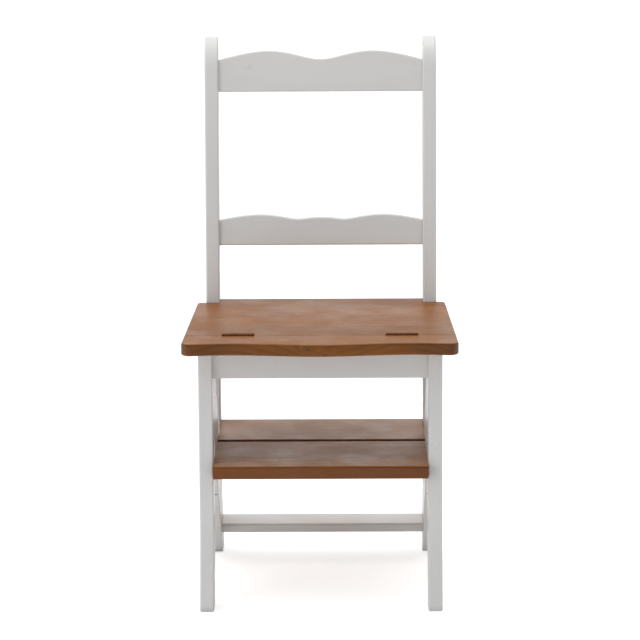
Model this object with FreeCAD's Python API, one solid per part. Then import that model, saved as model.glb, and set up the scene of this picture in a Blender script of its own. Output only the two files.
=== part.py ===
import FreeCAD, Part
import math
import os
from FreeCAD import Vector

# The chair stands on z = 0. X runs to its left and right and Y runs from its front to its back.
# Each place below is measured from the front face of the chair's front legs, near y = 0, and the whole
# chair is moved along Y at the end, so that its origin is under the middle of its outer box.

# Overall
chair_height = 900.0
frame_width = 398.2
side_board = 23.4
edge_round = 3.0

# Seat
seat_height = 450.0
seat_board = 20.0
seat_front_width = 448.0
seat_back_width = 427.0
seat_front_corner = -27.0
seat_front_hollow = -21.0
seat_hollow_place = 130.0
seat_front_bulge = -34.0
seat_corner_round = 16.0
seat_back_round = 9.0
seat_back_corner = 320.0
seat_tongue_end = 351.0
seat_edge_round = 3.0

# The line across the seat where the back half parts from the front half
seat_seam = 42.5
seat_seam_gap = 1.0
hinge_lift = 0.3

# The parting line between the slanting side boards
step_seam = 173.5
foot_seam = 352.0
stringer_gap = 2.4

# Front legs
leg_foot_front = -21.0
leg_ankle_front = 14.0
leg_top_front = 25.0
leg_ankle_height = 125.0
leg_depth = 45.0
leg_foot_depth = 43.0
leg_bend = 190.0

# Slanting boards of the front frame
lower_crotch_height = 300.0
lower_foot_depth = 24.0
stringer_round = 2.0
scallop_depth = 5.0
scallop_waves = 2
points_per_wave = 8

# Slanting boards of the back frame
upper_stringer_depth = 58.0
toe_crotch_height = 132.0

# Back posts
post_foot_back = 385.0
post_ankle_back = 333.5
post_ankle_height = 122.0
post_waist_back = 352.0
post_waist_height = 360.0
post_top_back = 414.0
post_foot_depth = 31.5
post_depth = 42.0
post_top_depth = 36.0
post_ankle_bend = 120.0
post_waist_bend = 2500.0
post_tip_height = 48.0
post_tip_flat = 14.0

# Back rails
rail_board = 20.0
rail_setback = 7.0
crest_bottom_depth = 92.0
crest_end_height = 55.5
crest_half = [(0.0, 56.8), (45.0, 65.2), (92.0, 71.0), (135.0, 65.7)]
mid_rise = 96.0
mid_end_height = 43.8
mid_half = [(0.0, 48.8), (18.0, 48.1), (37.0, 46.0), (68.0, 49.9), (104.0, 53.5), (142.0, 50.5)]

# Apron and rails under the seat
apron_depth = 50.5
apron_board = 18.0
apron_setback = 12.0
apron_top_gap = 0.4
side_rail_depth = 45.0

# Steps
step_height = 240.0
step_board = 21.6
lower_step_front = 0.5
lower_step_back = 170.0
upper_step_front = 181.0
upper_step_back = 329.0
step_edge_round = 3.0
pass_gap = 0.25

# Flat bar between the back feet
stretcher_bottom = 46.0
stretcher_board = 16.0
stretcher_front = 287.0
stretcher_back = 354.0
stretcher_edge_round = 4.0

# Hinges
hinge_place = 133.5
hinge_length = 53.0
knuckle_count = 5
knuckle_gap = 0.3
knuckle_radius = 3.5
pin_radius = 1.6
pin_clearance = 0.05
leaf_board = 1.6
leaf_depth = 16.0
leaf_clearance = 0.15
barrel_clearance = 0.4
leaf_screw_spacing = 17.0
leaf_screw_drop = 10.5
leaf_screw_head = 2.9
leaf_screw_shank = 1.3
leaf_screw_length = 14.0

# Fasteners
dowel_radius = 4.0
dowel_length = 30.0
dowel_spacing = 20.0
dowel_hole_spare = 0.5
dowel_wall = 5.0
fastener_clearance = 0.05
screw_head = 4.2
screw_shank = 2.0
screw_length = 48.0
step_screw_inset = 27.0
post_screw_inset = 12.0
stretcher_screw_inset = 5.0
stretcher_screw_spacing = 11.0
edge_screw_head = 2.6
edge_screw_height = 141.0
edge_screw_margin = 0.5
edge_screw_tilt = 38.0
edge_screw_wall = 4.0

inner_x = frame_width / 2 - side_board
middle_x = inner_x + side_board / 2
board_bottom = seat_height - seat_board
hinge_axis_z = seat_height + hinge_lift
crest_bottom = chair_height - crest_bottom_depth
mid_bottom = seat_height + mid_rise
step_middle = step_height - step_board / 2
reach = 2 * chair_height


def side_place(y, z):
    return Vector(0, y, z)


def front_place(x, z):
    return Vector(x, 0, z)


def plan_place(x, y):
    return Vector(x, y, 0)


def face(place, start, steps):
    """A flat face. A step of one point is a line, of two an arc, and of more a smooth curve."""
    edges = []
    here = start
    for step in steps:
        points = [place(*point) for point in [here] + step]
        if len(points) == 2:
            edges.append(Part.makeLine(points[0], points[1]))
        elif len(points) == 3:
            edges.append(Part.Arc(*points).toShape())
        else:
            curve = Part.BSplineCurve()
            curve.interpolate(points)
            edges.append(curve.toShape())
        here = step[-1]
    return Part.Face(Part.Wire(edges))


def bent(corners):
    """Steps along straight runs between (u, v, radius) corners, each turned with a tangent arc."""
    steps = []
    for before, corner, after in zip(corners, corners[1:], corners[2:]):
        at = Vector(corner[0], corner[1], 0)
        back = (Vector(before[0], before[1], 0) - at).normalize()
        ahead = (Vector(after[0], after[1], 0) - at).normalize()
        half_turn = (math.pi - back.getAngle(ahead)) / 2
        tangent = corner[2] * math.tan(half_turn)
        to_arc = corner[2] * (1 / math.cos(half_turn) - 1)
        inward = (back + ahead).normalize()
        start = at + back * tangent
        middle = at + inward * to_arc
        end = at + ahead * tangent
        steps.append([(start.x, start.y)])
        steps.append([(middle.x, middle.y), (end.x, end.y)])
    steps.append([corners[-1][:2]])
    return steps


def tangent_middle(before, start, end):
    """Middle of the arc from start to end that runs on from the line before-start."""
    line = Vector(start[0] - before[0], start[1] - before[1], 0)
    chord = Vector(end[0] - start[0], end[1] - start[1], 0)
    turn = line.getAngle(chord)
    side = 1 if line.cross(chord).z < 0 else -1
    normal = Vector(-chord.y, chord.x, 0).normalize() * side
    middle = Vector(start[0], start[1], 0) + chord / 2 + normal * (chord.Length / 2 * math.tan(turn / 2))
    return middle.x, middle.y


def between(start, end, z):
    """Y on the straight line from start to end, both (y, z), at height z."""
    return start[0] + (end[0] - start[0]) * (z - start[1]) / (end[1] - start[1])


def fillet(solid, radius, wanted):
    """Rounds the edges for which wanted(middle of the edge) is true."""
    middles = [(edge, edge.valueAt((edge.FirstParameter + edge.LastParameter) / 2)) for edge in solid.Edges]
    return solid.makeFillet(radius, [edge for edge, middle in middles if wanted(middle)])


def on_side_faces(point):
    return min(abs(point.x - inner_x), abs(point.x - inner_x - side_board)) < 0.01


def side_plate(flat):
    """A right-hand side board, side_board thick, from a face in the YZ plane."""
    return flat.translated(Vector(inner_x, 0, 0)).extrude(Vector(side_board, 0, 0))


def mirrored(shape):
    return shape.mirror(Vector(0, 0, 0), Vector(1, 0, 0))


def box(x, y, z):
    """A box between the pairs x, y and z."""
    return Part.makeBox(x[1] - x[0], y[1] - y[0], z[1] - z[0], Vector(x[0], y[0], z[0]))


# The parting line between the two frames
seam_top = (seat_seam, board_bottom)
seam_step = (step_seam, step_middle)
seam_foot = (foot_seam, 0.0)
seam_arc_middle = tangent_middle(seam_top, seam_step, seam_foot)


def seam_circle():
    arc = Part.Arc(side_place(*seam_step), side_place(*seam_arc_middle), side_place(*seam_foot))
    circle = arc.toShape().Curve
    return circle.Center, circle.Radius


def seam_y(z):
    """Y of the parting line at height z: straight down to the steps, then an arc to the floor."""
    if z >= step_middle:
        return between(seam_top, seam_step, z)
    centre, radius = seam_circle()
    return centre.y - math.copysign(math.sqrt(radius ** 2 - (z - centre.z) ** 2), centre.y - step_seam)


def front_of_seam(shift):
    """Everything in front of the parting line moved by shift along Y."""
    top = (seam_top[0] + shift, seam_top[1])
    step = (seam_step[0] + shift, seam_step[1])
    middle = (seam_arc_middle[0] + shift, seam_arc_middle[1])
    foot = (seam_foot[0] + shift, seam_foot[1])
    flat = face(side_place, top, [
        [step],
        [middle, foot],
        [(foot[0], -reach)],
        [(-reach, -reach)],
        [(-reach, reach)],
        [(top[0], reach)],
        [top],
    ])
    return flat.translated(Vector(-reach, 0, 0)).extrude(Vector(2 * reach, 0, 0))


# Front legs
leg_foot_back = leg_foot_front + leg_foot_depth
leg_ankle_back = (leg_ankle_front + leg_depth, leg_ankle_height)
leg_top_back = (leg_top_front + leg_depth, board_bottom)
lower_crotch = (between(leg_ankle_back, leg_top_back, lower_crotch_height), lower_crotch_height)


def leg_blank():
    """Outline of a front leg, with its full depth up to the seat."""
    down_front = bent([
        (leg_top_front, board_bottom, 0),
        (leg_ankle_front, leg_ankle_height, leg_bend),
        (leg_foot_front, 0, 0),
    ])
    up_back = bent([
        (leg_foot_back, 0, 0),
        (leg_ankle_back[0], leg_ankle_height, leg_bend - leg_depth),
        lower_crotch,
    ])
    steps = down_front + [[(leg_foot_back, 0)]] + up_back + [[leg_top_back], [(leg_top_front, board_bottom)]]
    return side_plate(face(side_place, (leg_top_front, board_bottom), steps))


def front_leg():
    def free(point):
        if not on_side_faces(point):
            return False
        behind_joint = point.y > lower_crotch[0] - 1 and point.z > lower_crotch_height
        return not behind_joint and point.z < board_bottom - 1
    leg = fillet(leg_blank(), edge_round, free)
    return leg.common(front_of_seam(-stringer_gap / 2))


# Slanting boards
lower_crotch_depth = seam_y(lower_crotch_height) - lower_crotch[0]


def scalloped_depth(share, bottom_depth, top_depth):
    """Depth of a slanting board, measured level from the seam, at a share of the way up its free edge."""
    wave = scallop_depth * math.sin(2 * math.pi * scallop_waves * share)
    return bottom_depth + (top_depth - bottom_depth) * share + wave


def scalloped(bottom, top, bottom_depth, top_depth, side):
    """Points of a scalloped free edge, from bottom to top."""
    points = []
    count = points_per_wave * scallop_waves
    for step in range(count + 1):
        z = bottom + (top - bottom) * step / count
        points.append((seam_y(z) + side * scalloped_depth(step / count, bottom_depth, top_depth), z))
    return points


def lower_stringer():
    free_edge = scalloped(0, lower_crotch_height, lower_foot_depth, lower_crotch_depth, -1)
    flat = face(side_place, free_edge[0], [
        free_edge[1:],
        [leg_top_back],
        [(foot_seam, board_bottom)],
        [(foot_seam, 0)],
        [free_edge[0]],
    ])

    def free(point):
        between_ends = 1 < point.z < lower_crotch_height
        return on_side_faces(point) and between_ends and point.y < seam_y(point.z)
    board = fillet(side_plate(flat), stringer_round, free)
    return board.common(front_of_seam(-stringer_gap / 2)).cut(leg_blank())


# Back posts
post_back_top = (post_top_back, chair_height)
post_back_waist = (post_waist_back, post_waist_height)
post_front_top = (post_top_back - post_top_depth, chair_height)
post_front_waist = (post_waist_back - post_depth, post_waist_height)
post_front_ankle = (post_ankle_back - post_depth, post_ankle_height)
post_rake = math.degrees(math.atan2(post_top_back - post_waist_back, chair_height - post_waist_height))
tip_start_z = chair_height - post_tip_height
tip_start = (between(post_front_waist, post_front_top, tip_start_z), tip_start_z)
tip_end = (post_top_back - post_tip_flat, chair_height)
toe_crotch = (between(post_front_ankle, post_front_waist, toe_crotch_height), toe_crotch_height)
rail_joint_z = board_bottom - side_rail_depth


def post_front(z):
    """Y of the post's front face at height z, above its waist."""
    return between(post_front_waist, post_front_top, z)


def post_blank():
    """Outline of a back post, before its edges are rounded."""
    down_back = bent([
        (post_top_back, chair_height, 0),
        (post_waist_back, post_waist_height, post_waist_bend),
        (post_ankle_back, post_ankle_height, post_ankle_bend),
        (post_foot_back, 0, 0),
    ])
    up_front = bent([
        (post_foot_back - post_foot_depth, 0, 0),
        (post_front_ankle[0], post_ankle_height, post_ankle_bend + post_depth),
        (post_front_waist[0], post_waist_height, post_waist_bend + post_depth),
        tip_start,
    ])
    steps = down_back + [[(post_foot_back - post_foot_depth, 0)]] + up_front
    steps.append([tangent_middle(post_front_waist, tip_start, tip_end), tip_end])
    steps.append([post_back_top])
    return side_plate(face(side_place, post_back_top, steps))


def back_post():
    post = fillet(post_blank(), edge_round, lambda point: on_side_faces(point) and point.z > 1)
    return post.cut(front_of_seam(stringer_gap / 2))


def upper_stringer():
    toe_depth = toe_crotch[0] - seam_y(toe_crotch_height)
    free_edge = scalloped(toe_crotch_height, rail_joint_z, toe_depth, upper_stringer_depth, 1)
    top_back = (seam_y(board_bottom) + upper_stringer_depth, board_bottom)
    flat = face(side_place, free_edge[0], [
        free_edge[1:],
        [top_back],
        [(0, board_bottom)],
        [(0, 0)],
        [(foot_seam, 0)],
        [(post_ankle_back, toe_crotch_height)],
        [free_edge[0]],
    ])

    def free(point):
        between_ends = toe_crotch_height < point.z < rail_joint_z
        return on_side_faces(point) and between_ends and point.y > seam_y(point.z)
    board = fillet(side_plate(flat), stringer_round, free)
    return board.cut(front_of_seam(stringer_gap / 2)).cut(post_blank())


def seat_side_rail():
    rail = box((inner_x, inner_x + side_board), (seat_seam, post_front_waist[0] + post_depth / 2),
               (rail_joint_z, board_bottom))
    rail = rail.cut(front_of_seam(upper_stringer_depth / 2)).cut(upper_stringer()).cut(post_blank())
    return max(rail.Solids, key=lambda solid: solid.Volume)


# Back rails
def back_rail(bottom, half, end_height):
    """A rail between the posts, raked with them. half holds (x, height) of its top edge from the centre."""
    side = half[1:] + [(inner_x, end_height)]
    top = [(-x, height) for x, height in reversed(side)] + [half[0]] + side
    flat = face(front_place, (-inner_x, 0), [[top[0]], top[1:], [(inner_x, 0)], [(-inner_x, 0)]])
    rail = flat.extrude(Vector(0, rail_board, 0))
    rail = fillet(rail, edge_round, lambda point: abs(point.x) < inner_x - 1)
    rail.rotate(Vector(0, 0, 0), Vector(1, 0, 0), -post_rake)
    setback = rail_setback / math.cos(math.radians(post_rake))
    rail.translate(Vector(0, post_front(bottom) + setback, bottom))
    return rail


apron_front = between((leg_ankle_front, leg_ankle_height), (leg_top_front, board_bottom),
                      board_bottom - apron_depth) + apron_setback


def front_apron():
    apron = box((-inner_x, inner_x), (apron_front, apron_front + apron_board),
                (board_bottom - apron_depth, board_bottom - apron_top_gap))
    return fillet(apron, edge_round / 2, lambda point: abs(point.x) < 1)


# Seat
def seat_blank():
    """The whole seat before it is parted: a wavy front edge and sides that come in towards the back."""
    front = seat_front_width / 2
    back = seat_back_width / 2

    def side_x(y):
        return front + (back - front) * (y - seat_front_corner) / (seat_back_corner - seat_front_corner)
    corner_start = front - seat_corner_round
    corner_end = seat_front_corner + seat_corner_round
    turn = math.sqrt(0.5)
    corner_middle = (corner_start + seat_corner_round * turn, corner_end - seat_corner_round * turn)
    wave = [
        (-corner_start, seat_front_corner),
        (-seat_hollow_place, seat_front_hollow),
        (0, seat_front_bulge),
        (seat_hollow_place, seat_front_hollow),
        (corner_start, seat_front_corner),
    ]
    flat = face(plan_place, wave[0], [
        wave[1:],
        [corner_middle, (side_x(corner_end), corner_end)],
        [(back, seat_back_corner)],
        [(inner_x, seat_back_corner)],
        [(inner_x, seat_tongue_end)],
        [(-inner_x, seat_tongue_end)],
        [(-inner_x, seat_back_corner)],
        [(-back, seat_back_corner)],
        [(-side_x(corner_end), corner_end)],
        [(-corner_middle[0], corner_middle[1]), wave[0]],
    ])
    blank = flat.translated(Vector(0, 0, board_bottom)).extrude(Vector(0, 0, seat_board))

    def back_corner(point):
        return abs(abs(point.x) - back) < 0.01 and abs(point.y - seat_back_corner) < 0.01
    blank = fillet(blank, seat_back_round, back_corner)

    def rounded(point):
        level = min(abs(point.z - seat_height), abs(point.z - board_bottom)) < 0.01
        notch = abs(point.x) < back - 1 and seat_back_corner - 1 < point.y < seat_tongue_end - 1
        return level and not notch
    return fillet(blank, seat_edge_round, rounded)


def seat_front_strip():
    before_seam = box((-reach, reach), (-reach, seat_seam - seat_seam_gap / 2), (-reach, reach))
    return seat_blank().common(before_seam)


def seat_rear_board():
    post = post_blank()
    behind_seam = box((-reach, reach), (seat_seam + seat_seam_gap / 2, reach), (-reach, reach))
    return seat_blank().common(behind_seam).cut(post).cut(mirrored(post))


# Steps and stretcher
def step(front, back, side_gap):
    half = inner_x - side_gap
    board = box((-half, half), (front, back), (step_height - step_board, step_height))
    return fillet(board, step_edge_round, lambda point: abs(point.x) < 1)


def foot_stretcher():
    half = inner_x - pass_gap
    top = stretcher_bottom + stretcher_board
    bar = box((-half, half), (stretcher_front, stretcher_back), (stretcher_bottom, top))
    return fillet(bar, stretcher_edge_round, lambda point: abs(point.x) < 1)


# Hinges, in their own frame: the axis along X through the origin, the fixed leaf at negative Y
knuckle_pitch = hinge_length / knuckle_count


def rod(radius, start, end):
    """A cylinder along X between x = start and x = end on the hinge axis."""
    return Part.makeCylinder(radius, end - start, Vector(start, 0, 0), Vector(1, 0, 0))


def screw(head, shank, length, at, direction):
    """A countersunk screw whose flat head is at the point at, with its shank along direction."""
    cone = Part.makeCone(head, shank, head - shank, at, direction)
    return cone.fuse(Part.makeCylinder(shank, length, at, direction)).removeSplitter()


def leaf_screw_places(side):
    face_y = side * seat_seam_gap / 2
    return [Vector(offset * leaf_screw_spacing, face_y, -leaf_screw_drop) for offset in (-1, 0, 1)]


def leaf_screw(place, side, extra):
    return screw(leaf_screw_head + extra, leaf_screw_shank + extra, leaf_screw_length + extra,
                 place, Vector(0, side, 0))


def hinge_leaf(side):
    """One leaf: side -1 is the fixed one with the outer knuckles, side 1 the moving one."""
    faces = sorted((side * seat_seam_gap / 2, side * (seat_seam_gap / 2 + leaf_board)))
    plate = box((-hinge_length / 2, hinge_length / 2), faces, (-leaf_depth, 0))
    for index in range(knuckle_count):
        start = -hinge_length / 2 + index * knuckle_pitch
        end = start + knuckle_pitch
        if (index % 2 == 0) == (side < 0):
            low = start + (knuckle_gap / 2 if index > 0 else 0)
            high = end - (knuckle_gap / 2 if index < knuckle_count - 1 else 0)
            plate = plate.fuse(rod(knuckle_radius, low, high))
        else:
            room = rod(knuckle_radius + barrel_clearance, start - knuckle_gap / 2, end + knuckle_gap / 2)
            plate = plate.cut(room)
    plate = plate.cut(rod(pin_radius + pin_clearance, -hinge_length, hinge_length))
    for place in leaf_screw_places(side):
        plate = plate.cut(leaf_screw(place, side, fastener_clearance))
    return plate


def hinge_pocket(side):
    """The room that a leaf and the barrel take out of the seat board on that side."""
    length = hinge_length / 2 + leaf_clearance
    faces = sorted((-side * knuckle_radius, side * (seat_seam_gap / 2 + leaf_board + leaf_clearance)))
    pocket = box((-length, length), faces, (-leaf_depth - leaf_clearance, knuckle_radius))
    pocket = pocket.fuse(rod(knuckle_radius + barrel_clearance, -length, length))
    for place in leaf_screw_places(side):
        pocket = pocket.fuse(leaf_screw(place, side, fastener_clearance))
    return pocket


def at_hinge(shape, side):
    return shape.translated(Vector(side * hinge_place, seat_seam, hinge_axis_z))


# Dowels and screws, for the right-hand side of the chair
def dowel(at, direction, extra):
    """A dowel whose middle is at the point at, or with extra above 0 the hole for it."""
    half = dowel_length / 2 + (dowel_hole_spare if extra else 0)
    axis = Vector(direction).normalize()
    return Part.makeCylinder(dowel_radius + extra, 2 * half, at - axis * half, axis)


def side_screw(y, z, extra):
    """A screw driven through a side board at y, z into the end of a board between the frames."""
    start = Vector(inner_x + side_board, y, z)
    return screw(screw_head + extra, screw_shank + extra, screw_length + extra, start, Vector(-1, 0, 0))


def pair(middle):
    return middle - dowel_spacing / 2, middle + dowel_spacing / 2


def apron_dowels(extra):
    y = apron_front + apron_board / 2
    along = Vector(1, 0, 0)
    return [dowel(Vector(inner_x, y, z), along, extra) for z in pair(board_bottom - apron_depth / 2)]


def strip_dowels(extra):
    y = (leg_top_front + seat_seam) / 2
    return [dowel(Vector(middle_x, y, board_bottom), Vector(0, 0, 1), extra)]


def leg_stringer_dowels(extra):
    """Spread up the joint, to where the stringer is just deep enough to hold one."""
    depth_lost = lower_crotch_depth - (seam_top[0] - leg_top_back[0])
    spare_depth = lower_crotch_depth - dowel_length / 2 - dowel_wall
    joint_height = (board_bottom - lower_crotch_height) * spare_depth / depth_lost
    places = [lower_crotch_height + joint_height * count / 3 for count in (1, 2)]
    return [dowel(Vector(middle_x, between(leg_ankle_back, leg_top_back, z), z), Vector(0, 1, 0), extra)
            for z in places]


def rail_dowels(bottom, end_height, extra):
    depth = (rail_setback + rail_board / 2) / math.cos(math.radians(post_rake))
    return [dowel(Vector(inner_x, post_front(z) + depth, z), Vector(1, 0, 0), extra)
            for z in pair(bottom + end_height / 2)]


def back_rail_dowels(extra):
    return rail_dowels(crest_bottom, crest_end_height, extra) + rail_dowels(mid_bottom, mid_end_height, extra)


def side_rail_dowels(extra):
    dowels = []
    for z in pair(board_bottom - side_rail_depth / 2):
        for y in (seam_y(z) + upper_stringer_depth, post_front(z)):
            dowels.append(dowel(Vector(middle_x, y, z), Vector(0, 1, 0), extra))
    return dowels


def seat_board_dowels(extra):
    front = seam_y(board_bottom) + upper_stringer_depth / 2
    back = post_front(board_bottom) - upper_stringer_depth / 2
    return [dowel(Vector(middle_x, y, board_bottom), Vector(0, 0, 1), extra)
            for y in (front, (front + back) / 2, back)]


def toe_dowels(extra):
    """Across the joint between the toe and the post, or further back where the toe is thin."""
    z = toe_crotch_height - dowel_spacing
    joint = between(post_front_ankle, post_front_waist, z)
    clear_of_seam = seam_y(z) + stringer_gap / 2 + dowel_wall + dowel_length / 2
    return [dowel(Vector(middle_x, max(joint, clear_of_seam), z), Vector(0, 1, 0), extra)]


def lower_step_screws(extra):
    leg_y = between(leg_ankle_back, leg_top_back, step_middle) - leg_depth / 2
    return [side_screw(y, step_middle, extra) for y in (leg_y, step_seam - step_screw_inset)]


def upper_step_screws(extra):
    post_y = between(post_front_ankle, post_front_waist, step_middle) + post_screw_inset
    return [side_screw(y, step_middle, extra) for y in (step_seam + step_screw_inset, post_y)]


def stretcher_screws(extra):
    z = stretcher_bottom + stretcher_board / 2
    back = stretcher_back - stretcher_screw_inset
    return [side_screw(y, z, extra) for y in (back - stretcher_screw_spacing, back)]


def stringer_edge_screws(extra):
    """The screw that shows in the free edge of a lower stringer."""
    depth = scalloped_depth(edge_screw_height / lower_crotch_height, lower_foot_depth, lower_crotch_depth)
    inset = stringer_round + edge_screw_head + edge_screw_margin
    start = Vector(inner_x + inset, seam_y(edge_screw_height) - depth, edge_screw_height)
    tilt = math.radians(edge_screw_tilt)
    length = depth * math.cos(tilt) - edge_screw_wall
    direction = Vector(0, math.cos(tilt), math.sin(tilt))
    return [screw(edge_screw_head + extra, screw_shank + extra, length + extra, start, direction)]


fasteners = {
    "apron_dowels": (apron_dowels, ["front_leg", "front_apron"]),
    "strip_dowels": (strip_dowels, ["front_leg", "seat_front_strip"]),
    "leg_stringer_dowels": (leg_stringer_dowels, ["front_leg", "lower_stringer"]),
    "lower_step_screws": (lower_step_screws, ["front_leg", "lower_stringer", "lower_step"]),
    "stringer_edge_screws": (stringer_edge_screws, ["lower_stringer"]),
    "back_rail_dowels": (back_rail_dowels, ["back_post", "crest_rail", "mid_rail"]),
    "side_rail_dowels": (side_rail_dowels, ["seat_side_rail", "upper_stringer", "back_post"]),
    "seat_board_dowels": (seat_board_dowels, ["seat_side_rail", "upper_stringer", "seat_rear_board"]),
    "toe_dowels": (toe_dowels, ["upper_stringer", "back_post"]),
    "upper_step_screws": (upper_step_screws, ["upper_stringer", "back_post", "upper_step"]),
    "stretcher_screws": (stretcher_screws, ["back_post", "foot_stretcher"]),
}


def hinge_parts():
    parts = {}
    for side_name, side in (("left", -1), ("right", 1)):
        parts["hinge_fixed_leaf_" + side_name] = at_hinge(hinge_leaf(-1), side)
        parts["hinge_moving_leaf_" + side_name] = at_hinge(hinge_leaf(1), side)
        parts["hinge_pin_" + side_name] = at_hinge(rod(pin_radius, -hinge_length / 2, hinge_length / 2), side)
    for name, leaf_side in (("hinge_fixed_screws", -1), ("hinge_moving_screws", 1)):
        screws = [at_hinge(leaf_screw(place, leaf_side, 0), side)
                  for side in (-1, 1) for place in leaf_screw_places(leaf_side)]
        parts[name] = Part.makeCompound(screws)
    return parts


def chair_parts():
    """Every sub-part by name, in its place."""
    side_boards = {
        "front_leg": front_leg(),
        "lower_stringer": lower_stringer(),
        "back_post": back_post(),
        "upper_stringer": upper_stringer(),
        "seat_side_rail": seat_side_rail(),
    }
    cross_boards = {
        "front_apron": front_apron(),
        "seat_front_strip": seat_front_strip(),
        "lower_step": step(lower_step_front, lower_step_back, 0),
        "crest_rail": back_rail(crest_bottom, crest_half, crest_end_height),
        "mid_rail": back_rail(mid_bottom, mid_half, mid_end_height),
        "seat_rear_board": seat_rear_board(),
        "upper_step": step(upper_step_front, upper_step_back, pass_gap),
        "foot_stretcher": foot_stretcher(),
    }
    parts = hinge_parts()
    for side in (-1, 1):
        for name, leaf_side in (("seat_front_strip", -1), ("seat_rear_board", 1)):
            cross_boards[name] = cross_boards[name].cut(at_hinge(hinge_pocket(leaf_side), side))
    for group, (make, boards) in fasteners.items():
        right = make(0)
        parts[group] = Part.makeCompound(right + [mirrored(shape) for shape in right])
        holes = make(fastener_clearance)
        for name in boards:
            if name in side_boards:
                side_boards[name] = side_boards[name].cut(holes)
            else:
                cross_boards[name] = cross_boards[name].cut(holes + [mirrored(hole) for hole in holes])
    parts.update(cross_boards)
    for name, board in side_boards.items():
        parts[name + "_right"] = board
        parts[name + "_left"] = mirrored(board)
    return parts


def main():
    os.makedirs("parts", exist_ok=True)
    parts = chair_parts()
    bounds = Part.makeCompound(list(parts.values())).optimalBoundingBox(False, False)
    to_origin = Vector(0, -(bounds.YMin + bounds.YMax) / 2, -bounds.ZMin)
    for name, shape in parts.items():
        placed = shape.translated(to_origin)
        placed.exportStep("parts/" + name + ".step")
        print(name, len(placed.Solids), placed.isValid(), round(placed.Volume / 1000, 1))
    print("size", round(bounds.XLength, 2), round(bounds.YLength, 2), round(bounds.ZLength, 2))
    print("moved", to_origin)


main()
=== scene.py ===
import math
import bpy
import numpy as np
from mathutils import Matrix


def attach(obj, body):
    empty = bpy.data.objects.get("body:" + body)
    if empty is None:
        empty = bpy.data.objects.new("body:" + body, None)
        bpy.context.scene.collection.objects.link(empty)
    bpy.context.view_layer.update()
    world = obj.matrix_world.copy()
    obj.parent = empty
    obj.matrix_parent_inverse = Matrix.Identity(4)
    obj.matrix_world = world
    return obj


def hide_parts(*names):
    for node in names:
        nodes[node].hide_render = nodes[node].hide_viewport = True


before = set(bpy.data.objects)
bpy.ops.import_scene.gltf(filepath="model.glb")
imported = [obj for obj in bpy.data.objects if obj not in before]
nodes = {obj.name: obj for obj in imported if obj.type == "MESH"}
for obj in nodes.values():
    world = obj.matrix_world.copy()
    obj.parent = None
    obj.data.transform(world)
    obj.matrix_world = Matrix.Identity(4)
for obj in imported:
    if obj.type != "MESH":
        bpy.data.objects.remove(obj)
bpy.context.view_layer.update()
print("frame loaded:", len(nodes), "nodes")


# Camera, as the photograph was taken

cameraSettings = {
    "place": (0.0385, -4.49, 1.371), "pitchDown": 11.656, "roll": 0.332, "yaw": 0.438,
    "lens": 153.37, "sensor": 36.0, "farthest": 100.0,
}


def makeCamera(settings):
    data = bpy.data.cameras.new("photoCamera")
    data.lens = settings["lens"]
    data.sensor_width = settings["sensor"]
    data.clip_end = settings["farthest"]
    camera = bpy.data.objects.new("photoCamera", data)
    camera.location = settings["place"]
    angles = (90 - settings["pitchDown"], settings["roll"], settings["yaw"])
    camera.rotation_euler = [math.radians(angle) for angle in angles]
    bpy.context.scene.collection.objects.link(camera)
    bpy.context.scene.camera = camera


makeCamera(cameraSettings)
bpy.context.scene.view_settings.view_transform = "Standard"
print("camera placed")


# Node helpers

def addNode(tree, kind, values=None, **settings):
    # values go to input sockets by name or number: a socket is linked, anything else is its constant
    node = tree.nodes.new(kind)
    for name, value in settings.items():
        setattr(node, name, value)
    for socket, value in (values or {}).items():
        if isinstance(value, bpy.types.NodeSocket):
            tree.links.new(value, node.inputs[socket])
        else:
            node.inputs[socket].default_value = value
    return node


def calc(tree, operation, *values):
    return addNode(tree, "ShaderNodeMath", dict(enumerate(values)), operation=operation).outputs[0]


def calcVector(tree, operation, first, second):
    values = {0: first, 1: second}
    return addNode(tree, "ShaderNodeVectorMath", values, operation=operation).outputs[0]


def shortened(tree, vector, factor):
    values = {0: vector, "Scale": factor}
    return addNode(tree, "ShaderNodeVectorMath", values, operation="SCALE").outputs[0]


def facing(tree, normal):
    # how squarely a face looks along X, Y and Z, either way
    turned = addNode(tree, "ShaderNodeVectorMath", {0: normal}, operation="ABSOLUTE").outputs[0]
    return addNode(tree, "ShaderNodeSeparateXYZ", {0: turned}).outputs


def spread(tree, value, low, high, start=0.0, end=1.0):
    # smooth step from start at low to end at high
    values = {"Value": value, "From Min": low, "From Max": high, "To Min": start, "To Max": end}
    node = addNode(tree, "ShaderNodeMapRange", values, interpolation_type="SMOOTHSTEP")
    return node.outputs["Result"]


def stretched(tree, vector, scale, turn=(0, 0, 0)):
    values = {"Vector": vector, "Rotation": turn, "Scale": scale}
    return addNode(tree, "ShaderNodeMapping", values).outputs["Vector"]


def noise(tree, vector, scale=1.0, detail=3.0, roughness=0.55):
    values = {"Vector": vector, "Scale": scale, "Detail": detail, "Roughness": roughness}
    return addNode(tree, "ShaderNodeTexNoise", values).outputs["Fac"]


def blendColour(tree, amount, first, second, way="MIX"):
    # inputs 6 and 7 and output 2 of a Mix node are the ones for colours
    node = addNode(tree, "ShaderNodeMix", data_type="RGBA", blend_type=way, clamp_factor=True)
    for place, value in (("Factor", amount), (6, first), (7, second)):
        socket = node.inputs[place]
        if isinstance(value, bpy.types.NodeSocket):
            tree.links.new(value, socket)
        elif socket.type == "RGBA":
            socket.default_value = (*value, 1)
        else:
            socket.default_value = value
    return node.outputs[2]


def overlay(tree, mask, share, first, second):
    # second laid over first where the mask shows, and no more than the share of it
    return blendColour(tree, calc(tree, "MULTIPLY", mask, share), first, second)


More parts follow.
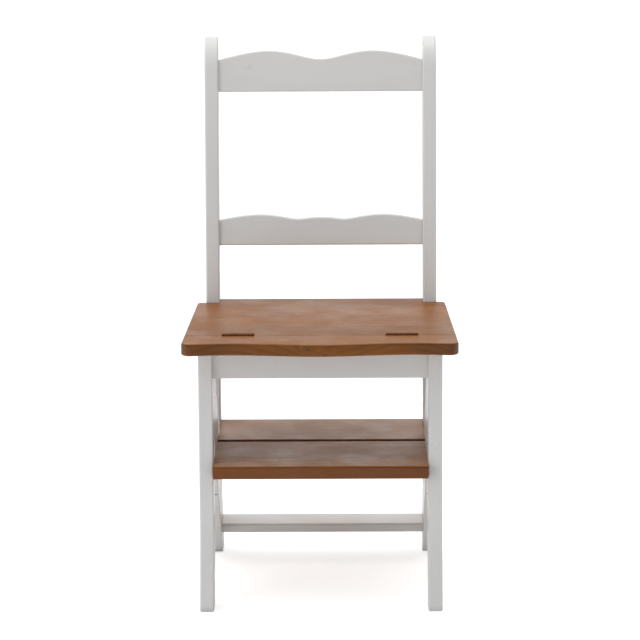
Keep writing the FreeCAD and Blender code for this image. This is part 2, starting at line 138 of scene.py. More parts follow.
def newGroup(name, inputs, outputs):
    # inputs are (name, kind, constant) and outputs (name, kind)
    group = bpy.data.node_groups.new(name, "ShaderNodeTree")
    for label, kind, constant in inputs:
        socket = group.interface.new_socket(label, in_out="INPUT", socket_type="NodeSocket" + kind)
        socket.default_value = constant
    for label, kind in outputs:
        group.interface.new_socket(label, in_out="OUTPUT", socket_type="NodeSocket" + kind)
    return group, group.nodes.new("NodeGroupInput").outputs, group.nodes.new("NodeGroupOutput").inputs


def useGroup(tree, group, values):
    return addNode(tree, "ShaderNodeGroup", values, node_tree=group).outputs


# Shared effects. A scale is how many times a metre the noise changes, and the pair of numbers after
# it is where the noise starts to show and where it shows in full

grainLook = {
    "warpScale": (1.4, 7, 7), "warpReach": 0.034, "haloReach": 0.02,
    "lateWood": (0.3, 0.92),  # shares of a ring between which it darkens
    "fibreScale": (9, 520, 520),
    "poreScale": (70, 1500, 1500), "pores": (0.62, 0.74),
    "driftScale": (3.2, 16, 16),
    "streakScale": (11, 95, 95), "streaks": (0.56, 0.70),
}
edgeLook = {
    "rounded": (0.78, 0.96),  # how squarely a face looks along an axis, from all edge to no edge
    "patchScale": 55.0, "patchRoughness": 0.65, "patches": (0.42, 0.62),
}
handlingLook = {
    "smearScale": 14.0, "smearRoughness": 0.6,
    "nickScale": (90, 160, 160), "nicks": (0.71, 0.76),
}


def makeGrainGroup(look):
    # growth rings are rounds about a heart line along X, pushed about by slow noise and by the halo of
    # a knot; fibres, pores and streaks are noise drawn out along X
    group, given, out = newGroup("boardGrain", [
        ("Vector", "Vector", (0, 0, 0)),
        ("Heart Y", "Float", 0.02),
        ("Heart Z", "Float", -0.09),
        ("Ring Spacing", "Float", 0.004),
        ("Halo", "Float", 0.0),
    ], [
        ("Rings", "Float"),
        ("Fibre", "Float"),
        ("Pores", "Float"),
        ("Drift", "Float"),
        ("Streaks", "Float"),
    ])
    vector = given["Vector"]
    warp = stretched(group, vector, look["warpScale"])
    warp = addNode(group, "ShaderNodeTexNoise", {"Vector": warp, "Scale": 1.0, "Detail": 2.0})
    warp = calcVector(group, "SUBTRACT", warp.outputs["Color"], (0.5, 0.5, 0.5))
    bent = calcVector(group, "ADD", vector, shortened(group, warp, look["warpReach"]))
    parts = addNode(group, "ShaderNodeSeparateXYZ", {0: bent}).outputs
    across = calc(group, "SUBTRACT", parts["Y"], given["Heart Y"])
    deep = calc(group, "SUBTRACT", parts["Z"], given["Heart Z"])
    radius = calc(group, "SQRT", calc(group, "ADD", calc(group, "MULTIPLY", across, across),
                                      calc(group, "MULTIPLY", deep, deep)))
    radius = calc(group, "ADD", radius, calc(group, "MULTIPLY", given["Halo"], look["haloReach"]))
    phase = calc(group, "FRACT", calc(group, "DIVIDE", radius, given["Ring Spacing"]))
    darkening = spread(group, phase, *look["lateWood"])
    fading = spread(group, phase, look["lateWood"][1], 1.0, 1.0, 0.0)
    late = calc(group, "MULTIPLY", darkening, fading)
    fibre = noise(group, stretched(group, vector, look["fibreScale"]), detail=4)
    pores = noise(group, stretched(group, vector, look["poreScale"]), detail=1)
    pores = spread(group, pores, *look["pores"])
    drift = noise(group, stretched(group, vector, look["driftScale"]), detail=3)
    streaks = noise(group, stretched(group, vector, look["streakScale"]), detail=3)
    streaks = spread(group, streaks, *look["streaks"])
    values = {"Rings": late, "Fibre": fibre, "Pores": pores, "Drift": drift, "Streaks": streaks}
    for label, value in values.items():
        group.links.new(value, out[label])
    return group


def makeEdgeGroup(look):
    # 1 where a rounded edge turns between two flat faces, broken up by noise
    group, given, out = newGroup("roundedEdges", [
        ("Normal", "Vector", (0, 0, 1)),
        ("Vector", "Vector", (0, 0, 0)),
        ("Patchiness", "Float", 0.5),
    ], [("Mask", "Float")])
    parts = facing(group, given["Normal"])
    largest = calc(group, "MAXIMUM", calc(group, "MAXIMUM", parts["X"], parts["Y"]), parts["Z"])
    edge = spread(group, largest, *look["rounded"], 1.0, 0.0)
    patches = noise(group, given["Vector"], look["patchScale"], 4, look["patchRoughness"])
    patches = spread(group, patches, *look["patches"])
    patches = calc(group, "ADD", calc(group, "MULTIPLY", patches, given["Patchiness"]),
                   calc(group, "SUBTRACT", 1.0, given["Patchiness"]))
    group.links.new(calc(group, "MULTIPLY", edge, patches), out["Mask"])
    return group


def makeHandlingGroup(look):
    # broad smears where hands and feet polish or dull a finish, and small scattered nicks
    group, given, out = newGroup("handlingMarks", [
        ("Vector", "Vector", (0, 0, 0)),
    ], [("Smears", "Float"), ("Nicks", "Float")])
    smears = noise(group, given["Vector"], look["smearScale"], 4, look["smearRoughness"])
    nicks = noise(group, stretched(group, given["Vector"], look["nickScale"]), detail=2)
    group.links.new(smears, out["Smears"])
    group.links.new(spread(group, nicks, *look["nicks"]), out["Nicks"])
    return group


grainGroup = makeGrainGroup(grainLook)
edgeGroup = makeEdgeGroup(edgeLook)
handlingGroup = makeHandlingGroup(handlingLook)
print("shared effects made")


def newMaterial(name):
    material = bpy.data.materials.new(name)
    material.use_nodes = True
    tree = material.node_tree
    shader = tree.nodes["Principled BSDF"]
    coordinates = addNode(tree, "ShaderNodeTexCoord").outputs
    return material, tree, shader, coordinates


def addBump(tree, shader, height, strength, distance):
    values = {"Height": height, "Strength": strength, "Distance": distance}
    bump = addNode(tree, "ShaderNodeBump", values).outputs["Normal"]
    tree.links.new(bump, shader.inputs["Normal"])


def putOn(material, names):
    for name in names:
        mesh = nodes[name].data
        mesh.materials.clear()
        mesh.materials.append(material)


# White satin paint. turn lays the brush strokes along the board, in degrees about X, Y and Z, and a
# share is how much of the second colour is laid over the first

paintBoards = {
    "paintAlongRails": {
        "turn": (0, 0, 0),
        "nodes": ["front_apron", "crest_rail", "mid_rail", "foot_stretcher"]},
    "paintAlongPosts": {
        "turn": (0, 90, 0),
        "nodes": ["front_leg_left", "front_leg_right", "back_post_left", "back_post_right"]},
    "paintAlongSideRails": {
        "turn": (0, 0, 90),
        "nodes": ["seat_side_rail_left", "seat_side_rail_right"]},
    "paintAlongStringers": {
        "turn": (-53, 0, 90),
        "nodes": ["lower_stringer_left", "lower_stringer_right",
                  "upper_stringer_left", "upper_stringer_right"]},
}
paint = {
    "colour": (0.85, 0.85, 0.845),
    "shade": (0.81, 0.812, 0.805),
    "edge": (0.80, 0.79, 0.76),
    "shadeAndFootTone": (0.40, 0.37, 0.32),
    "bareWood": (0.36, 0.25, 0.15),
    "roughness": (0.27, 0.42),
    "strokeScale": (5, 420, 420), "strokeShare": 0.12,
    "ridgeScale": (12, 1500, 1500),
    "toneScale": (4, 22, 22), "tones": (0.35, 0.65), "toneShare": 0.6,
    "edgePatches": 0.6, "edgeShare": 0.35,
    "smears": (0.3, 0.7),
    "jointPlane": 0.1757, "jointReach": 0.0011, "jointShare": 0.30,
    "footHeight": 0.011, "footDarkening": (0.10, 0.42), "scuffShare": 0.8,
    "strokeHeight": 0.7, "ridgeHeight": 0.3, "scuffDepth": 1.5,
    "bump": 0.10, "bumpDistance": 0.0004,
}


def makePaint(name, turn):
    material, tree, shader, coordinates = newMaterial(name)
    place = coordinates["Object"]
    along = stretched(tree, place, (1, 1, 1), turn=[math.radians(angle) for angle in turn])
    strokes = noise(tree, stretched(tree, along, paint["strokeScale"]), detail=3)
    ridges = noise(tree, stretched(tree, along, paint["ridgeScale"]), detail=2)
    tone = noise(tree, stretched(tree, along, paint["toneScale"]), detail=2)
    edge = useGroup(tree, edgeGroup, {
        "Normal": coordinates["Normal"], "Vector": place, "Patchiness": paint["edgePatches"]})
    marks = useGroup(tree, handlingGroup, {"Vector": place})
    colour = overlay(tree, spread(tree, tone, *paint["tones"]), paint["toneShare"],
                     paint["colour"], paint["shade"])
    colour = overlay(tree, strokes, paint["strokeShare"], colour, paint["shade"])
    colour = overlay(tree, edge["Mask"], paint["edgeShare"], colour, paint["edge"])
    # painted shade in a thin band about the joint plane beside the rails, and darker towards the bottom
    # of the feet
    parts = addNode(tree, "ShaderNodeSeparateXYZ", {0: place}).outputs
    fromMiddle = calc(tree, "ABSOLUTE", parts["X"])
    fromJoint = calc(tree, "ABSOLUTE", calc(tree, "SUBTRACT", fromMiddle, paint["jointPlane"]))
    jointShade = spread(tree, fromJoint, 0.0, paint["jointReach"], paint["jointShare"], 0.0)
    colour = blendColour(tree, jointShade, colour, paint["shadeAndFootTone"])
    foot = spread(tree, parts["Z"], 0.0, paint["footHeight"], 1.0, 0.0)
    footDarkness = spread(tree, marks["Smears"], *paint["smears"], *paint["footDarkening"])
    colour = overlay(tree, foot, footDarkness, colour, paint["shadeAndFootTone"])
    scuffs = calc(tree, "MULTIPLY", foot, marks["Nicks"])
    colour = overlay(tree, scuffs, paint["scuffShare"], colour, paint["bareWood"])
    tree.links.new(colour, shader.inputs["Base Color"])
    rough = spread(tree, marks["Smears"], *paint["smears"], *paint["roughness"])
    tree.links.new(rough, shader.inputs["Roughness"])
    height = calc(tree, "ADD", calc(tree, "MULTIPLY", strokes, paint["strokeHeight"]),
                  calc(tree, "MULTIPLY", ridges, paint["ridgeHeight"]))
    height = calc(tree, "SUBTRACT", height, calc(tree, "MULTIPLY", scuffs, paint["scuffDepth"]))
    addBump(tree, shader, height, paint["bump"], paint["bumpDistance"])
    return material


for boardName, board in paintBoards.items():
    putOn(makePaint(boardName, board["turn"]), board["nodes"])
print("white boards painted")


# Stained boards, their grain along X, each of glued staves. heart is the Y and Z of the middle of the
# tree, and each knot has its place and its size. The tones multiply the stain's colours: the top tone
# is painted light and sheen, and the edge and end tones are painted shade

woodBoards = {
    "stainedSeat": {
        "nodes": ["seat_front_strip", "seat_rear_board"],
        "heart": (0.02, 0.36), "staveWidth": 0.083, "staveStart": 0.011, "ringSpacing": 0.0052,
        "topLightTone": (1.13, 1.14, 1.6), "edgeShadeTone": (0.86, 0.80, 0.7), "endShadeTone": (0.60, 0.54, 0.50),
        "endsFrom": (0.10, 0.19), "gloss": 0.30, "edgeHighlight": 0.15,
        "flatOrange": 0.25, "flatContrast": 0.65,
        "knots": [(-0.0185, -0.2238, 0.4415, 0.0026), (0.0088, -0.2238, 0.4335, 0.0018),
                  (0.098, 0.031, 0.450, 0.0030)]},
    "stainedLowerStep": {
        "nodes": ["lower_step"],
        "heart": (-0.09, 0.17), "staveWidth": 0.079, "staveStart": 0.022, "ringSpacing": 0.0048,
        "topLightTone": (1.58, 1.80, 3.8), "edgeShadeTone": (0.60, 0.45, 0.15), "endShadeTone": (0.62, 0.46, 0.20),
        "endsFrom": (0.12, 0.18), "gloss": 0.39, "edgeHighlight": 0.10,
        "flatOrange": 0.15, "flatContrast": 0.8,
        "knots": [(0.096, -0.1860, 0.228, 0.0030), (-0.052, -0.118, 0.240, 0.0038)]},
    "stainedUpperStep": {
        "nodes": ["upper_step"],
        "heart": (0.06, 0.16), "staveWidth": 0.0725, "staveStart": 0.0615, "ringSpacing": 0.0056,
        "topLightTone": (1.50, 1.74, 4.1), "edgeShadeTone": (0.60, 0.48, 0.30), "endShadeTone": (0.62, 0.50, 0.35),
        "endsFrom": (0.12, 0.18), "gloss": 0.64, "edgeHighlight": 0.12,
        "flatOrange": 0.15, "flatContrast": 0.8,
        "knots": [(-0.11, 0.04, 0.240, 0.0045)]},
}
stain = {
    "early": (0.245, 0.084, 0.007),
    "late": (0.125, 0.040, 0.004),
    "orange": (0.33, 0.128, 0.008),
    "streak": (0.130, 0.055, 0.012),
    "pore": (0.045, 0.017, 0.007),
    "knot": (0.080, 0.027, 0.005),
    "paintedLightTone": (0.46, 0.24, 0.11),
    "endGrain": (0.085, 0.030, 0.010),
    "roughness": (0.34, 0.48), "smears": (0.3, 0.7), "poreRoughness": 0.12,
    "staveSeed": 7.3, "staveShift": 0.05, "staveTones": (0.90, 1.12),
    "flatFrom": (0.55, 0.95), "endFrom": (0.55, 0.9),  # how squarely a face looks along Z, or along X
    "ringShare": 0.45, "streakShare": 0.42, "poreShare": 0.50, "endShare": 0.6,
    "fibres": (0.35, 0.70), "fibreShare": 0.30,
    "drift": (0.47, 0.68), "orangeShare": 0.65,
    "knotOnEdge": 0.70, "knotOnFlat": 0.35,
    "edgePatches": 0.5,
    "ringHeight": 0.35, "fibreHeight": 0.5, "poreDepth": 0.8,
    "bump": 0.22, "bumpDistance": 0.0004,
}
knotLook = {
    "lengthwise": 0.6, "unevenScale": 0.9, "unevenFrom": (0.2, 0.8),
    "unevenness": 0.45, "spot": (0.35, 1.35), "haloFall": 0.55,  # in sizes of the knot
}


def knotMasks(tree, place, knots, look):
    # a dark spot at each knot, drawn out along the board, and the wider halo that its grain swirls in
    spots = 0.0
    halo = 0.0
    for *knotPlace, size in knots:
        away = calcVector(tree, "SUBTRACT", place, knotPlace)
        away = stretched(tree, away, (look["lengthwise"] / size, 1 / size, 1 / size))
        distance = addNode(tree, "ShaderNodeVectorMath", {0: away}, operation="LENGTH")
        uneven = noise(tree, away, scale=look["unevenScale"])
        uneven = spread(tree, uneven, *look["unevenFrom"], -look["unevenness"], look["unevenness"])
        distance = calc(tree, "ADD", distance.outputs["Value"], uneven)
        spots = calc(tree, "MAXIMUM", spots, spread(tree, distance, *look["spot"], 1.0, 0.0))
        fall = calc(tree, "EXPONENT", calc(tree, "MULTIPLY", distance, -look["haloFall"]))
        halo = calc(tree, "ADD", halo, fall)
    return spots, halo


def makeStain(name, board):
    material, tree, shader, coordinates = newMaterial(name)
    place = coordinates["Object"]
    parts = addNode(tree, "ShaderNodeSeparateXYZ", {0: place}).outputs
    # each stave takes its piece of the grain from another place, and has its own tone
    stave = calc(tree, "SUBTRACT", parts["Y"], board["staveStart"])
    stave = calc(tree, "FLOOR", calc(tree, "DIVIDE", stave, board["staveWidth"]))
    stave = calc(tree, "ADD", stave, stain["staveSeed"])
    chance = addNode(tree, "ShaderNodeTexWhiteNoise", {"W": stave}, noise_dimensions="1D").outputs
    slid = calcVector(tree, "ADD", place, shortened(tree, chance["Color"], stain["staveShift"]))
    tone = spread(tree, chance["Value"], 0.0, 1.0, *stain["staveTones"])
    tone = addNode(tree, "ShaderNodeCombineXYZ", {0: tone, 1: tone, 2: tone}).outputs[0]
    spots, halo = knotMasks(tree, place, board["knots"], knotLook)
    grain = useGroup(tree, grainGroup, {
        "Vector": slid, "Heart Y": board["heart"][0], "Heart Z": board["heart"][1],
        "Ring Spacing": board["ringSpacing"], "Halo": halo})
    edge = useGroup(tree, edgeGroup, {
        "Normal": coordinates["Normal"], "Vector": place, "Patchiness": stain["edgePatches"]})
    marks = useGroup(tree, handlingGroup, {"Vector": place})
    turned = facing(tree, coordinates["Normal"])
    flat = spread(tree, turned["Z"], *stain["flatFrom"])
    endOn = spread(tree, turned["X"], *stain["endFrom"])
    # rings and orange drift are fainter on faces looking up, as part of the painted sheen there
    contrast = spread(tree, flat, 0.0, 1.0, 1.0, board["flatContrast"])
    contrast = calc(tree, "MULTIPLY", contrast, stain["ringShare"])
    colour = overlay(tree, grain["Rings"], contrast, stain["early"], stain["late"])
    fibres = spread(tree, grain["Fibre"], *stain["fibres"])
    colour = overlay(tree, fibres, stain["fibreShare"], colour, stain["late"])
    orange = spread(tree, grain["Drift"], *stain["drift"], 0.0, stain["orangeShare"])
    orangeShare = spread(tree, flat, 0.0, 1.0, 1.0, board["flatOrange"])
    colour = overlay(tree, orange, orangeShare, colour, stain["orange"])
    colour = overlay(tree, grain["Streaks"], stain["streakShare"], colour, stain["streak"])
    colour = blendColour(tree, 1.0, colour, tone, "MULTIPLY")
    # faces looking up are painted paler and greyer as painted light and sheen, the edges darker as
    # painted shade, and darkest near the ends as painted shade beside the side frames
    nearEnd = spread(tree, calc(tree, "ABSOLUTE", parts["X"]), *board["endsFrom"])
    onEdge = blendColour(tree, nearEnd, board["edgeShadeTone"], board["endShadeTone"])
    paintedLightTone = blendColour(tree, flat, onEdge, board["topLightTone"])
    colour = blendColour(tree, 1.0, colour, paintedLightTone, "MULTIPLY")
    colour = overlay(tree, grain["Pores"], stain["poreShare"], colour, stain["pore"])
    knotShare = spread(tree, flat, 0.0, 1.0, stain["knotOnEdge"], stain["knotOnFlat"])
    colour = overlay(tree, spots, knotShare, colour, stain["knot"])
    colour = overlay(tree, endOn, stain["endShare"], colour, stain["endGrain"])
    # a painted highlight along the rounded edges
    colour = overlay(tree, edge["Mask"], board["edgeHighlight"], colour, stain["paintedLightTone"])
    tree.links.new(colour, shader.inputs["Base Color"])
    shader.inputs["Specular IOR Level"].default_value = board["gloss"]
    rough = spread(tree, marks["Smears"], *stain["smears"], *stain["roughness"])
    rough = calc(tree, "ADD", rough, calc(tree, "MULTIPLY", grain["Pores"], stain["poreRoughness"]))
    tree.links.new(rough, shader.inputs["Roughness"])
    height = calc(tree, "ADD", calc(tree, "MULTIPLY", grain["Rings"], stain["ringHeight"]),
                  calc(tree, "MULTIPLY", grain["Fibre"], stain["fibreHeight"]))
    pits = calc(tree, "MULTIPLY", grain["Pores"], stain["poreDepth"])
    height = calc(tree, "SUBTRACT", height, pits)
    addBump(tree, shader, height, stain["bump"], stain["bumpDistance"])
    return material


for boardName, board in woodBoards.items():
    putOn(makeStain(boardName, board), board["nodes"])
print("seat and steps stained")


# Metal and dowels

metals = {
    "bronzedHinge": {
        "colour": (0.21, 0.086, 0.027), "rubbed": (0.26, 0.13, 0.055), "roughness": (0.48, 0.64),
        "metallic": 0.55,
        "nodes": ["hinge_fixed_leaf_left", "hinge_fixed_leaf_right",
                  "hinge_moving_leaf_left", "hinge_moving_leaf_right",
                  "hinge_pin_left", "hinge_pin_right", "hinge_fixed_screws", "hinge_moving_screws"]},
    "darkScrew": {
        "colour": (0.085, 0.070, 0.055), "rubbed": (0.32, 0.29, 0.25), "roughness": (0.32, 0.50),
        "metallic": 0.80,
        "nodes": ["lower_step_screws", "upper_step_screws", "stretcher_screws",
                  "stringer_edge_screws"]},
}
metalLook = {
    "cloudScale": 260.0, "cloudRoughness": 0.65, "clouds": (0.35, 0.65), "darkening": 0.6,
    "roughClouds": (0.3, 0.7), "edgePatches": 0.7, "edgeShare": 0.25,
    "grainScale": 1800.0, "bump": 0.12, "bumpDistance": 0.0002,
}


def makeMetal(name, metal, look):
    material, tree, shader, coordinates = newMaterial(name)
    place = coordinates["Object"]
    edge = useGroup(tree, edgeGroup, {
        "Normal": coordinates["Normal"], "Vector": place, "Patchiness": look["edgePatches"]})
    cloud = noise(tree, place, look["cloudScale"], 4, look["cloudRoughness"])
    darker = tuple(look["darkening"] * channel for channel in metal["colour"])
    colour = blendColour(tree, spread(tree, cloud, *look["clouds"]), metal["colour"], darker)
    colour = overlay(tree, edge["Mask"], look["edgeShare"], colour, metal["rubbed"])
    tree.links.new(colour, shader.inputs["Base Color"])
    rough = spread(tree, cloud, *look["roughClouds"], *metal["roughness"])
    tree.links.new(rough, shader.inputs["Roughness"])
    shader.inputs["Metallic"].default_value = metal["metallic"]
    grain = noise(tree, place, look["grainScale"], 2)
    addBump(tree, shader, grain, look["bump"], look["bumpDistance"])
    return material


for metalName, metal in metals.items():
    metal["material"] = makeMetal(metalName, metal, metalLook)
    putOn(metal["material"], metal["nodes"])

beech = {
    "colour": (0.56, 0.36, 0.19), "dark": (0.40, 0.23, 0.11), "roughness": (0.6, 0.75),
    "fleckScale": 300.0, "flecks": (0.35, 0.7), "roughFlecks": (0.3, 0.7),
    "bump": 0.2, "bumpDistance": 0.0003,
    "nodes": ["apron_dowels", "strip_dowels", "leg_stringer_dowels", "back_rail_dowels",
              "side_rail_dowels", "seat_board_dowels", "toe_dowels"],
}


def makeBeech(settings):
    material, tree, shader, coordinates = newMaterial("bareBeech")
    place = stretched(tree, coordinates["Object"], (settings["fleckScale"],) * 3)
    flecks = noise(tree, place, detail=3)
    darkFlecks = spread(tree, flecks, *settings["flecks"])
    tree.links.new(blendColour(tree, darkFlecks, settings["colour"], settings["dark"]),
                   shader.inputs["Base Color"])
    rough = spread(tree, flecks, *settings["roughFlecks"], *settings["roughness"])
    tree.links.new(rough, shader.inputs["Roughness"])
    addBump(tree, shader, flecks, settings["bump"], settings["bumpDistance"])
    return material


putOn(makeBeech(beech), beech["nodes"])
print("metal and dowels finished")


# Screws with a cross recess, in the places of the plain ones. axis is the way each is driven on the
# side of +X, turned about on the other side where mirrored is true, and row is the number of the axis
# that they stand along

edgeScrewTilt = math.radians(38)  # how steeply they rise into the stringers' free edges
screwSets = {
    "lowerStepCrossScrews": {
        "node": "lower_step_screws", "body": "root", "slot": "dark_screw",
        "metal": "darkScrew", "axis": (-1, 0, 0), "mirrored": True, "row": 1},
    "upperStepCrossScrews": {
        "node": "upper_step_screws", "body": "back_frame", "slot": "dark_screw",
        "metal": "darkScrew", "axis": (-1, 0, 0), "mirrored": True, "row": 1},
    "stretcherCrossScrews": {
        "node": "stretcher_screws", "body": "back_frame", "slot": "dark_screw",
        "metal": "darkScrew", "axis": (-1, 0, 0), "mirrored": True, "row": 1},
    "edgeCrossScrews": {
        "node": "stringer_edge_screws", "body": "root", "slot": "dark_screw",
        "metal": "darkScrew", "axis": (0, math.cos(edgeScrewTilt), math.sin(edgeScrewTilt)),
        "mirrored": False, "row": 0},
    "fixedLeafCrossScrews": {
        "node": "hinge_fixed_screws", "body": "root", "slot": "dark_bronze",
        "metal": "bronzedHinge", "axis": (0, -1, 0), "mirrored": False, "row": 0},
    "movingLeafCrossScrews": {
        "node": "hinge_moving_screws", "body": "back_frame", "slot": "dark_bronze",
        "metal": "bronzedHinge", "axis": (0, 1, 0), "mirrored": False, "row": 0},
}
screwShape = {
    "columns": 40, "headRows": 14, "rim": 0.0001,
    "armReach": 0.60, "armHalfWidth": 0.15, "recessDepth": 0.50,  # shares of the head's radius
    "sideEnd": 1.25, "sideFall": 0.5, "reachEnd": 1.1, "reachFall": 0.25,  # shares of the arm's sizes
    "recessSlope": 0.7,
    "plainShare": 0.3, "pitch": 0.0026, "rowsPerTurn": 6, "threadDepth": 0.0005,
    "tip": 0.005, "tipShare": 0.04,
    "turnStep": 0.9, "sideTurn": 0.35,  # radians from one cross to the next, and for the side
    "headGap": 0.002, "sharpAngle": 35,
    "flatness": 1e-5, "shankReach": 0.004,
}


def smooth(share):
    share = np.clip(share, 0, 1)
    return share * share * (3 - 2 * share)


def screwRings(head, shank, length, turn, shape):
    # rings about the z axis, which runs down into the wood from the flat of the head at z = 0:
    # across the head, z is the recess, deepest in the middle and falling off past the sides and ends of
    # a cross; then the radius runs in along the cone, and on the shank it is the core plus a ridge that
    # winds round
    angle = np.linspace(0, 2 * np.pi, shape["columns"], endpoint=False)
    across = head * np.linspace(0, 1, shape["headRows"])[1:, None]
    x = np.abs(across * np.cos(angle + turn))
    y = np.abs(across * np.sin(angle + turn))
    reach = np.maximum(x, y) / (shape["armReach"] * head)
    side = np.minimum(x, y) / (shape["armHalfWidth"] * head)
    recess = smooth((shape["sideEnd"] - side) / shape["sideFall"])
    recess = recess * smooth((shape["reachEnd"] - reach) / shape["reachFall"])
    recess = recess * (1 - shape["recessSlope"] * np.clip(reach, 0, 1))
    headZ = shape["recessDepth"] * head * recess
    headZ[-1] = shape["rim"]
    coneEnd = head - shank
    plainEnd = coneEnd + shape["plainShare"] * (length - coneEnd)
    tipStart = length - shape["tip"]
    threadRows = np.arange(plainEnd, length, shape["pitch"] / shape["rowsPerTurn"])
    z = np.concatenate([[coneEnd], threadRows])[:, None]
    wind = np.mod(z / shape["pitch"] - angle / (2 * np.pi), 1)
    ridge = 1 - np.abs(2 * wind - 1)
    groove = shape["threadDepth"] * (1 - ridge) * smooth((z - plainEnd) / shape["pitch"])
    taper = np.clip((length - z) / (length - tipStart), shape["tipShare"], 1)
    radius = np.concatenate([np.broadcast_to(across, headZ.shape), (shank - groove) * taper])
    depth = np.concatenate([headZ, np.broadcast_to(z, groove.shape)])
    rings = np.stack([radius * np.cos(angle), radius * np.sin(angle), depth], axis=-1)
    return rings, np.array([(0, 0, shape["recessDepth"] * head), (0, 0, length)])


def ringFaces(rows, columns):
    # four-sided faces between neighbouring rings, and fans that close the ends to the last two points
    ring = np.arange(rows * columns).reshape(rows, columns)
    after = np.roll(ring, -1, axis=1)
    walls = np.stack([ring[:-1], after[:-1], after[1:], ring[1:]], axis=-1).reshape(-1, 4)
    first = np.stack([np.full(columns, rows * columns), after[0], ring[0]], axis=-1)
    last = np.stack([np.full(columns, rows * columns + 1), ring[-1], after[-1]], axis=-1)
    return walls, np.concatenate([first, last])


def meshPoints(mesh):
    points = np.empty(3 * len(mesh.vertices), dtype=np.float32)
    mesh.vertices.foreach_get("co", points)
    return points.reshape(-1, 3).astype(float)


def headPlaces(points, axis, row, shape):
    # the middle, radius and length of each screw: its head is the flat that comes first along axis
    along = points @ axis
    flat = points[along < along.min() + shape["flatness"]]
    flat = flat[np.argsort(flat[:, row])]
    breaks = np.nonzero(np.diff(flat[:, row]) > shape["headGap"])[0] + 1
    for group in np.split(flat, breaks):
        middle = (group.min(axis=0) + group.max(axis=0)) / 2
        yield middle, np.ptp(group[:, row]) / 2, np.ptp(along)


def shankRadius(points, middle, axis, length, shape):
    # the farthest that the screw's own far end reaches from its axis
    away = points - middle
    along = away @ axis
    offset = np.linalg.norm(away - along[:, None] * axis, axis=1)
    return offset[(along > length - shape["flatness"]) & (offset < shape["shankReach"])].max()


def makeScrews(name, settings, shape):
    points = meshPoints(nodes[settings["node"]].data)
    places = []
    walls = []
    fans = []
    for side in (-1, 1):
        axis = np.array(settings["axis"], dtype=float)
        if settings["mirrored"] and side < 0:
            axis[0] = -axis[0]
        upward = np.array([0, 0, 1.0])
        first = np.cross(upward, axis)
        first /= np.linalg.norm(first)
        second = np.cross(axis, first)
        ownSide = points[points[:, 0] * side > 0]
        for middle, head, length in headPlaces(ownSide, axis, settings["row"], shape):
            shank = shankRadius(ownSide, middle, axis, length, shape)
            turn = shape["turnStep"] * len(places) + shape["sideTurn"] * side
            rings, ends = screwRings(head, shank, length, turn, shape)
            local = np.concatenate([rings.reshape(-1, 3), ends])
            screwWalls, screwFans = ringFaces(*rings.shape[:2])
            pointsBefore = sum(map(len, places))
            walls.append(screwWalls + pointsBefore)
            fans.append(screwFans + pointsBefore)
            places.append(middle + local @ np.array([first, second, axis]))
    mesh = bpy.data.meshes.new(name)
    faces = np.concatenate(walls).tolist() + np.concatenate(fans).tolist()
    mesh.from_pydata(np.concatenate(places).tolist(), [], faces)
    mesh.polygons.foreach_set("use_smooth", np.ones(len(mesh.polygons), dtype=bool))
    mesh.set_sharp_from_angle(angle=math.radians(shape["sharpAngle"]))
    mesh.materials.append(metals[settings["metal"]]["material"])
    screws = bpy.data.objects.new(name, mesh)
    bpy.context.scene.collection.objects.link(screws)
    print(name, len(places), "screws, faces:", len(faces))
    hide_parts(settings["node"])
    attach(screws, settings["body"])


for setName, screwSet in screwSets.items():
    makeScrews(setName, screwSet, screwShape)
print("screws driven")


# Floor and light

studio = {
    "floorSize": 30.0, "floorColour": 0.80, "floorLift": 0.60,
    # what the ceiling and each white wall give: the axis they are on, where along it, as seen from
    # the chair, their glow starts and is full, and its strength
    "glows": {
        "back": ("Y", -0.3, 0.4, 0.34),
        "top": ("Z", 0.35, 0.95, 0.80),
        "left": ("X", -0.2, -0.8, 0.76),
        "right": ("X", 0.2, 0.8, 0.37),
    },
    "frontMirror": 0.15, "backMirror": 1.10,  # what gloss shows of the walls
    "lamps": {
        "sideSoftbox": {"place": (-6.0, -6.0, 2.5), "size": 3.0, "power": 68.0},
        "overheadSoftbox": {"place": (0.0, -0.2, 3.2), "size": 1.6, "power": 19.0},
    },
    "aim": (0.0, 0.0, 0.45),
}


def seenRays(tree):
    rays = addNode(tree, "ShaderNodeLightPath").outputs
    return calc(tree, "MAXIMUM", rays["Is Camera Ray"],
                calc(tree, "MAXIMUM", rays["Is Glossy Ray"], rays["Is Transmission Ray"]))


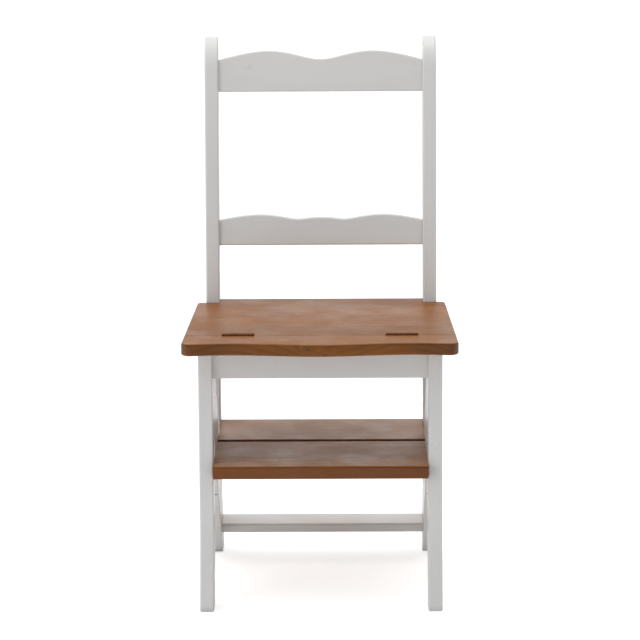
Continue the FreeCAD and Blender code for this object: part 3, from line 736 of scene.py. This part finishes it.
def makeFloor(settings):
    half = settings["floorSize"] / 2
    corners = np.array([(-half, -half, 0), (half, -half, 0), (half, half, 0), (-half, half, 0)])
    mesh = bpy.data.meshes.new("studioFloor")
    mesh.from_pydata(corners.tolist(), [], [(0, 1, 2, 3)])
    floor = bpy.data.objects.new("studioFloor", mesh)
    bpy.context.scene.collection.objects.link(floor)
    material, tree, shader = newMaterial("studioFloor")[:3]
    shader.inputs["Base Color"].default_value = (*[settings["floorColour"]] * 3, 1)
    shader.inputs["Roughness"].default_value = 1.0
    shader.inputs["Specular IOR Level"].default_value = 0.0
    lift = calc(tree, "MULTIPLY", seenRays(tree), settings["floorLift"])
    lift = addNode(tree, "ShaderNodeEmission", {"Strength": lift})
    both = addNode(tree, "ShaderNodeAddShader", {0: shader.outputs[0], 1: lift.outputs[0]})
    tree.links.new(both.outputs[0], tree.nodes["Material Output"].inputs["Surface"])
    mesh.materials.append(material)


def makeWorld(settings):
    # pale walls and ceiling whose glow goes by the direction seen from the chair, and plain white to
    # the camera
    world = bpy.data.worlds.new("studioWorld")
    world.use_nodes = True
    tree = world.node_tree
    way = addNode(tree, "ShaderNodeTexCoord").outputs["Generated"]
    way = addNode(tree, "ShaderNodeSeparateXYZ", {0: way}).outputs
    glow = 0.0
    for axis, low, high, strength in settings["glows"].values():
        glow = calc(tree, "ADD", glow, spread(tree, way[axis], low, high, 0.0, strength))
    behind = spread(tree, way["Y"], *settings["glows"]["back"][1:3])
    mirror = addNode(tree, "ShaderNodeMapRange", {
        "Value": behind, "To Min": settings["frontMirror"],
        "To Max": settings["backMirror"]}).outputs["Result"]
    rays = addNode(tree, "ShaderNodeLightPath").outputs
    shown = {"Is Glossy Ray": mirror, "Is Transmission Ray": 1.0, "Is Camera Ray": 1.0}
    for seen, value in shown.items():
        glow = addNode(tree, "ShaderNodeMapRange", {
            "Value": rays[seen], "To Min": glow, "To Max": value}).outputs["Result"]
    background = tree.nodes["Background"]
    background.inputs["Color"].default_value = (1, 1, 1, 1)
    tree.links.new(glow, background.inputs["Strength"])
    bpy.context.scene.world = world


def makeLamp(name, settings, aim):
    data = bpy.data.lights.new(name, "AREA")
    data.shape = "SQUARE"
    data.size = settings["size"]
    data.energy = settings["power"]
    lamp = bpy.data.objects.new(name, data)
    lamp.location = settings["place"]
    way = np.array(aim) - np.array(settings["place"])
    lamp.rotation_euler = (math.atan2(math.hypot(way[0], way[1]), -way[2]), 0,
                           math.atan2(way[1], way[0]) - math.pi / 2)
    bpy.context.scene.collection.objects.link(lamp)


makeFloor(studio)
makeWorld(studio)
for lampName, lamp in studio["lamps"].items():
    makeLamp(lampName, lamp, studio["aim"])
print("studio lit")
